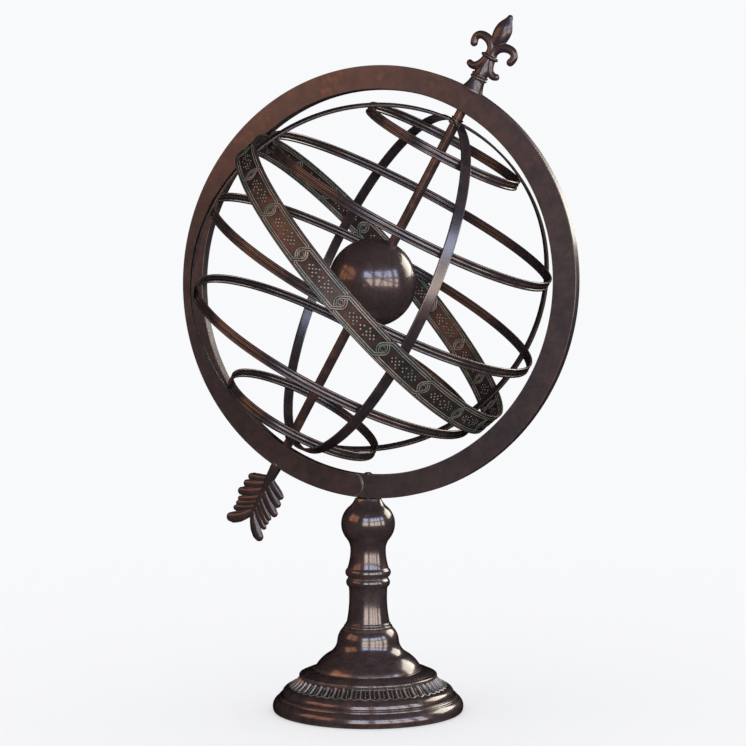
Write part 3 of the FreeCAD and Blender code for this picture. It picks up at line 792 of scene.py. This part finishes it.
def finial():
    """Fleur-de-lis: petal, foot and binding ring, then a curl and a leaf to each side."""
    grids = [
        path_tube([(0, 224), (0, 230), (0, 236), (0, 240), (0, 244.5), (0, 249), (0, 253.3), (0, 257.6)],
                  [2.8, 4.8, 7.0, 7.9, 8.2, 7.5, 5.4, 2.2], 0.6),
        path_tube([(0, 204), (0, 209), (0, 214), (0, 219), (0, 224)], [6.6, 6.3, 5.0, 4.4, 4.4], 0.85),
        oval_ring(6.9, 4.2, 220.9, 1.45)]
    curl = [(1.5, 222.0), (3.4, 229.0), (8.6, 233.9), (14.4, 234.7), (19.2, 232.2), (20.6, 228.2),
            (18.6, 225.6)]
    leaf = [(2.4, 219.5), (4.0, 213.8), (7.4, 209.4), (11.0, 207.7), (13.9, 208.6)]
    for shape in (list, mirrored):
        grids.append(path_tube(shape(curl), [4.2, 4.2, 3.9, 3.6, 3.4, 3.3, 3.4], 0.86, 48))
        grids.append(path_tube(shape(leaf), [3.8, 3.8, 3.6, 3.3, 2.9], 0.9, 40))
    fuse("fleur_finial_casting", grids, 0.32, 9, CAST_METAL, "fleur_finial", (10, 0.3))


def feathers():
    """The arrow's tail: a spine and seven barbs a side, each with a thin wider blade along it."""
    grids = [path_tube([(0, -189.5), (0, -196), (0, -204), (0, -214), (0, -230), (0, -243)],
                       [5.3, 5.0, 4.4, 3.0, 2.2, 1.9], 1.0)]
    barbs = (([(1.5, -204.8), (10.5, -209.7), (17.2, -212.2)], [3.2, 3.8, 3.2]),
             ([(1.5, -210.5), (10.5, -216.4), (18.0, -219.9)], [3.6, 4.1, 3.5]),
             ([(1.5, -217.5), (11.0, -224.6), (19.3, -229.0)], [3.6, 4.3, 3.7]),
             ([(1.5, -225.0), (10.0, -231.6), (16.9, -235.6)], [2.6, 3.1, 2.6]),
             ([(1.5, -230.0), (10.0, -236.4), (16.5, -240.2)], [2.6, 3.1, 2.6]),
             ([(1.5, -235.0), (10.0, -241.4), (16.7, -245.4)], [2.6, 3.1, 2.6]),
             ([(1.5, -240.5), (9.6, -250.4), (16.8, -255.6)], [3.0, 4.5, 4.4]))
    for shape in (list, mirrored):
        for path, radii in barbs:
            x, z = path[-1]
            short = path[:-1] + [(x - 2.6, z + 1.3)]
            grids.append(path_tube(shape(path), radii, 0.62, 30))
            grids.append(path_tube(shape(short), [r * 1.22 for r in radii], 0.2, 30))
    fuse("arrow_feathers_casting", grids, 0.32, 7, CAST_METAL, "arrow_feathers", (10, 0.3))


finial()
feathers()


# ---- CAD nodes that show as they are

def dress(node, material):
    obj = frame["nodes"][node]
    if not obj.material_slots:
        obj.data.materials.append(material)
    for slot in obj.material_slots:
        slot.material = material


for names, material in (
        (("polar_rod",), ROD_METAL),
        (("ring_screw", "upper_pole_bush", "lower_pole_bush"), HOOP_METAL),
        (("upper_pole_clip", "lower_pole_clip", "ball_grub_screw"), DARK_STEEL),
        (("stem_tie_rod", "base_washer", "base_nut"), PLAIN_STEEL),
        (("base_felt",), FELT)):
    for name in names:
        dress(name, material)


# ---- floor, light and camera

SKY = (0.945, 0.95, 0.97)


def floor():
    """Pale paper that glows a little, so that it stays as bright as the background."""
    mesh = bpy.data.meshes.new("floor")
    reach = 40.0
    corners = [(-reach, -reach, 0), (reach, -reach, 0), (reach, reach, 0), (-reach, reach, 0)]
    mesh.from_pydata(corners, [], [(0, 1, 2, 3)])
    obj = bpy.data.objects.new("floor", mesh)
    bpy.context.scene.collection.objects.link(obj)
    obj.visible_glossy = False
    g = Graph("floor_paper")
    g.shader.inputs["Roughness"].default_value = 0.9
    g.shader.inputs["Specular IOR Level"].default_value = 0.0
    share = 0.6
    g.shader.inputs["Base Color"].default_value = (share, share, share, 1.0)
    g.shader.inputs["Emission Color"].default_value = (*SKY, 1.0)
    g.shader.inputs["Emission Strength"].default_value = 1.0 - share
    mesh.materials.append(g.material)
    return obj


def world():
    w = bpy.data.worlds.new("studio")
    bpy.context.scene.world = w
    w.use_nodes = True
    back = w.node_tree.nodes["Background"]
    back.inputs["Color"].default_value = (*SKY, 1.0)
    back.inputs["Strength"].default_value = 1.0
    w.cycles_visibility.glossy = False


def panel(name, azimuths, elevations, colour, radiance, unlit, distance=1.9):
    """Soft rectangular lamp that fills the given span of directions seen from the ring's centre."""
    az, el = math.radians(sum(azimuths) / 2), math.radians(sum(elevations) / 2)
    towards = Vector((math.sin(az) * math.cos(el), -math.cos(az) * math.cos(el), math.sin(el)))
    data = bpy.data.lights.new(name, "AREA")
    data.shape = "RECTANGLE"
    data.size = 2 * distance * math.tan(math.radians(azimuths[1] - azimuths[0]) / 2) * math.cos(el)
    data.size_y = 2 * distance * math.tan(math.radians(elevations[1] - elevations[0]) / 2)
    data.color = colour
    data.energy = radiance * math.pi * data.size * data.size_y
    obj = bpy.data.objects.new(name, data)
    obj.location = CENTRE + towards * distance
    obj.rotation_mode = "QUATERNION"
    obj.rotation_quaternion = towards.to_track_quat("Z", "Y")
    obj.visible_camera = False
    bpy.context.scene.collection.objects.link(obj)
    obj.light_linking.receiver_collection = unlit
    return obj


def lights(ground):
    """Two rows of window panes to the right, a warm pair to the left and a softbox behind on the right."""
    unlit = bpy.data.collections.new("not_lit_by_panels")
    unlit.objects.link(ground)
    for item in unlit.collection_objects:
        item.light_linking.link_state = "EXCLUDE"
    blue, warm, cream, orange = (0.62, 0.74, 1.0), (1.0, 0.86, 0.74), (1.0, 0.93, 0.80), (1.0, 0.42, 0.20)
    for k, span in enumerate(((3, 25), (33, 50), (53, 64), (67, 78), (86, 98))):
        panel("window_high_%d" % k, span, (12, 27), blue, 10.0, unlit)
        panel("window_low_%d" % k, span, (-9, 8), warm, 9.0, unlit)
    panel("lamp_left_0", (-68, -46), (7, 34), orange, 3.0, unlit)
    panel("lamp_left_1", (-43, -21), (7, 34), orange, 3.0, unlit)
    panel("softbox_right", (126, 166), (9, 34), cream, 8.0, unlit)


def camera():
    """Placed by azimuth, with its distance and height in ring radii from the ring's centre."""
    frame_px, focal_px, sensor = 746.0, 1881.85, 36.0
    azimuth, distance, height = 24.7524, 8.7271, -0.1629
    pitch_down, yaw_right = 1.6814, 0.0244
    data = bpy.data.cameras.new("camera")
    data.lens = sensor * focal_px / frame_px
    data.sensor_width = sensor
    data.clip_start, data.clip_end = 0.05, 200.0
    obj = bpy.data.objects.new("camera", data)
    turn = math.radians(azimuth)
    obj.location = CENTRE + RING_R * Vector((distance * math.sin(turn), -distance * math.cos(turn), height))
    obj.rotation_euler = Euler((math.radians(90 - pitch_down), 0, math.radians(azimuth - yaw_right)), "XYZ")
    bpy.context.scene.collection.objects.link(obj)
    bpy.context.scene.camera = obj


world()
lights(floor())
camera()
bpy.context.scene.view_settings.view_transform = "Standard"
